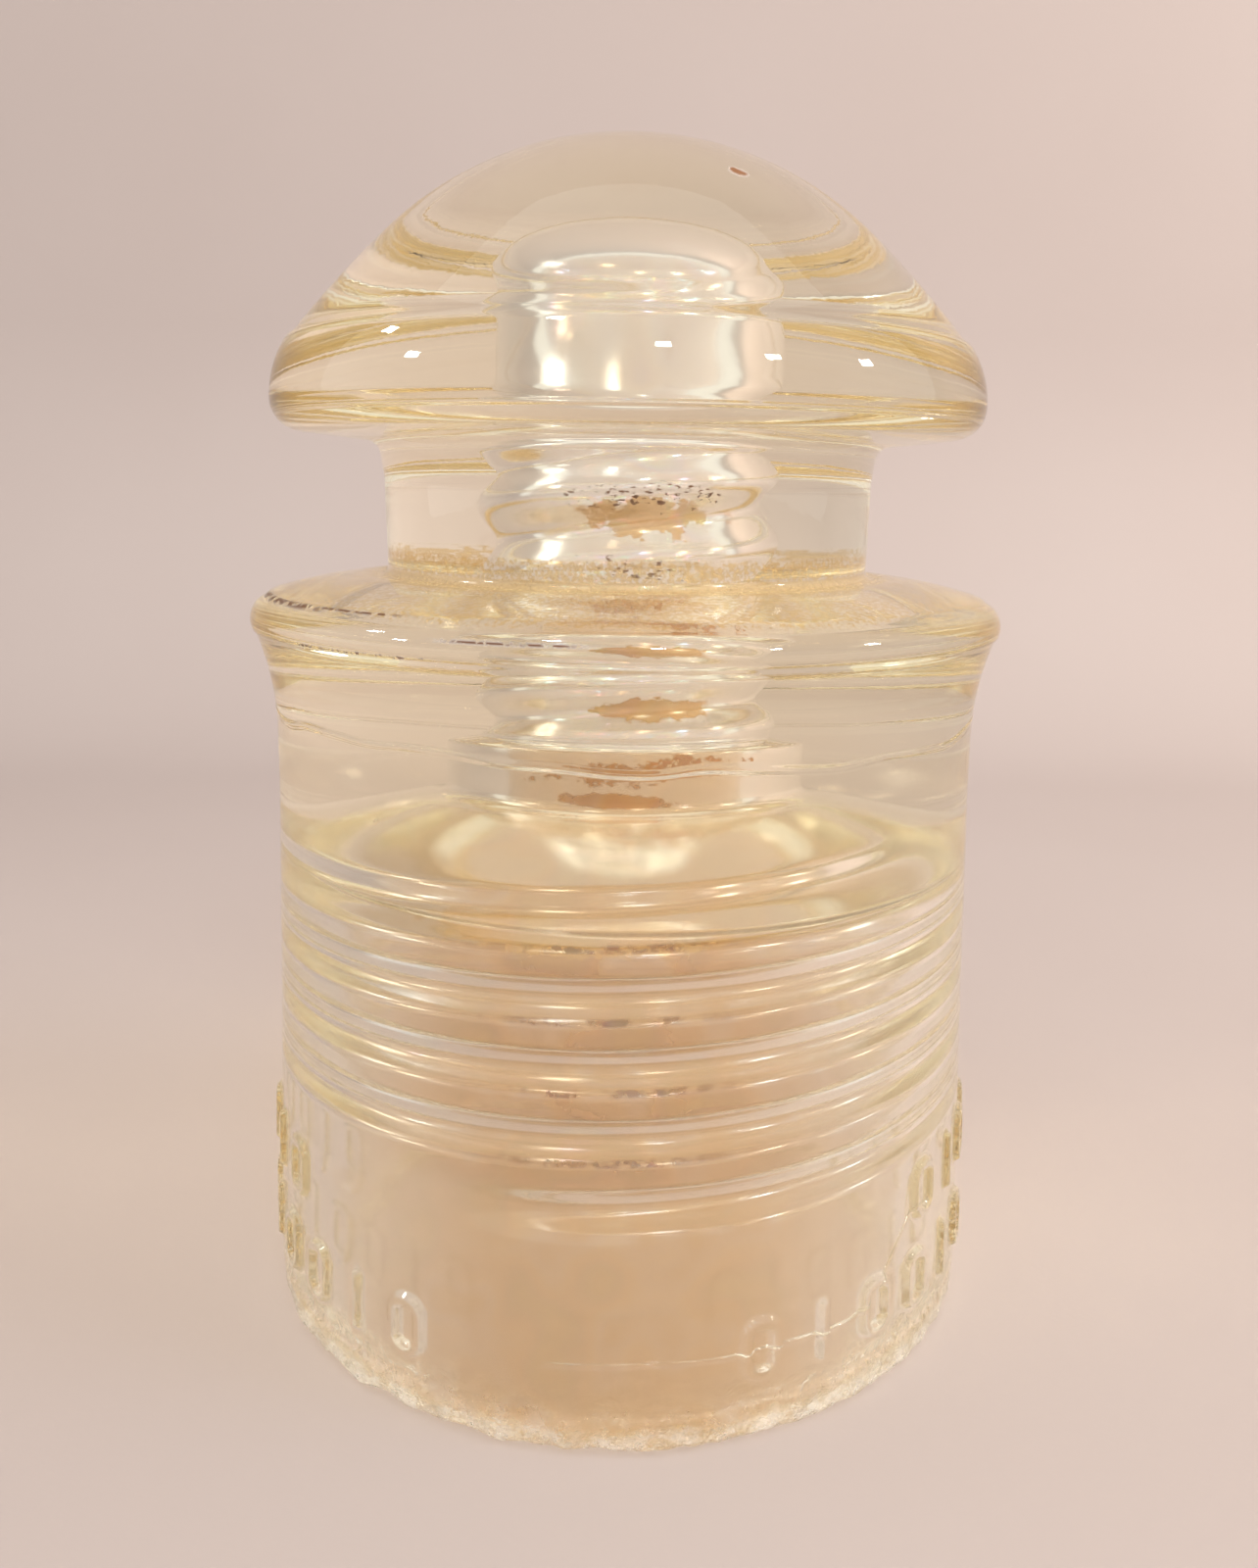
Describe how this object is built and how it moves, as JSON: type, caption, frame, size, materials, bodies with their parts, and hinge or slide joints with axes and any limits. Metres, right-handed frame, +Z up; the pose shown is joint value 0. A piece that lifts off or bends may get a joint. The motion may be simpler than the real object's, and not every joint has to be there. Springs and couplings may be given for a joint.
{
  "type": "pin insulator",
  "caption": "Clear pressed-glass line insulator with a mushroom crown, a side wire groove, a flanged shoulder, a threaded pinhole and a deep open skirt.",
  "frame": {"origin": "centre of the base rim, on the surface that the insulator stands on", "axes": "+Z up the axis of the pin, towards the crown; -Y is the side with the clear gap between the two groups of raised marks"},
  "size_m": [0.066, 0.066, 0.1013],
  "materials": {
    "clear_glass": "fire-polished pressed soda-lime glass with a faint straw tint"
  },
  "bodies": {
    "root": {"glass_insulator": "clear_glass"}
  },
  "joints": []
}
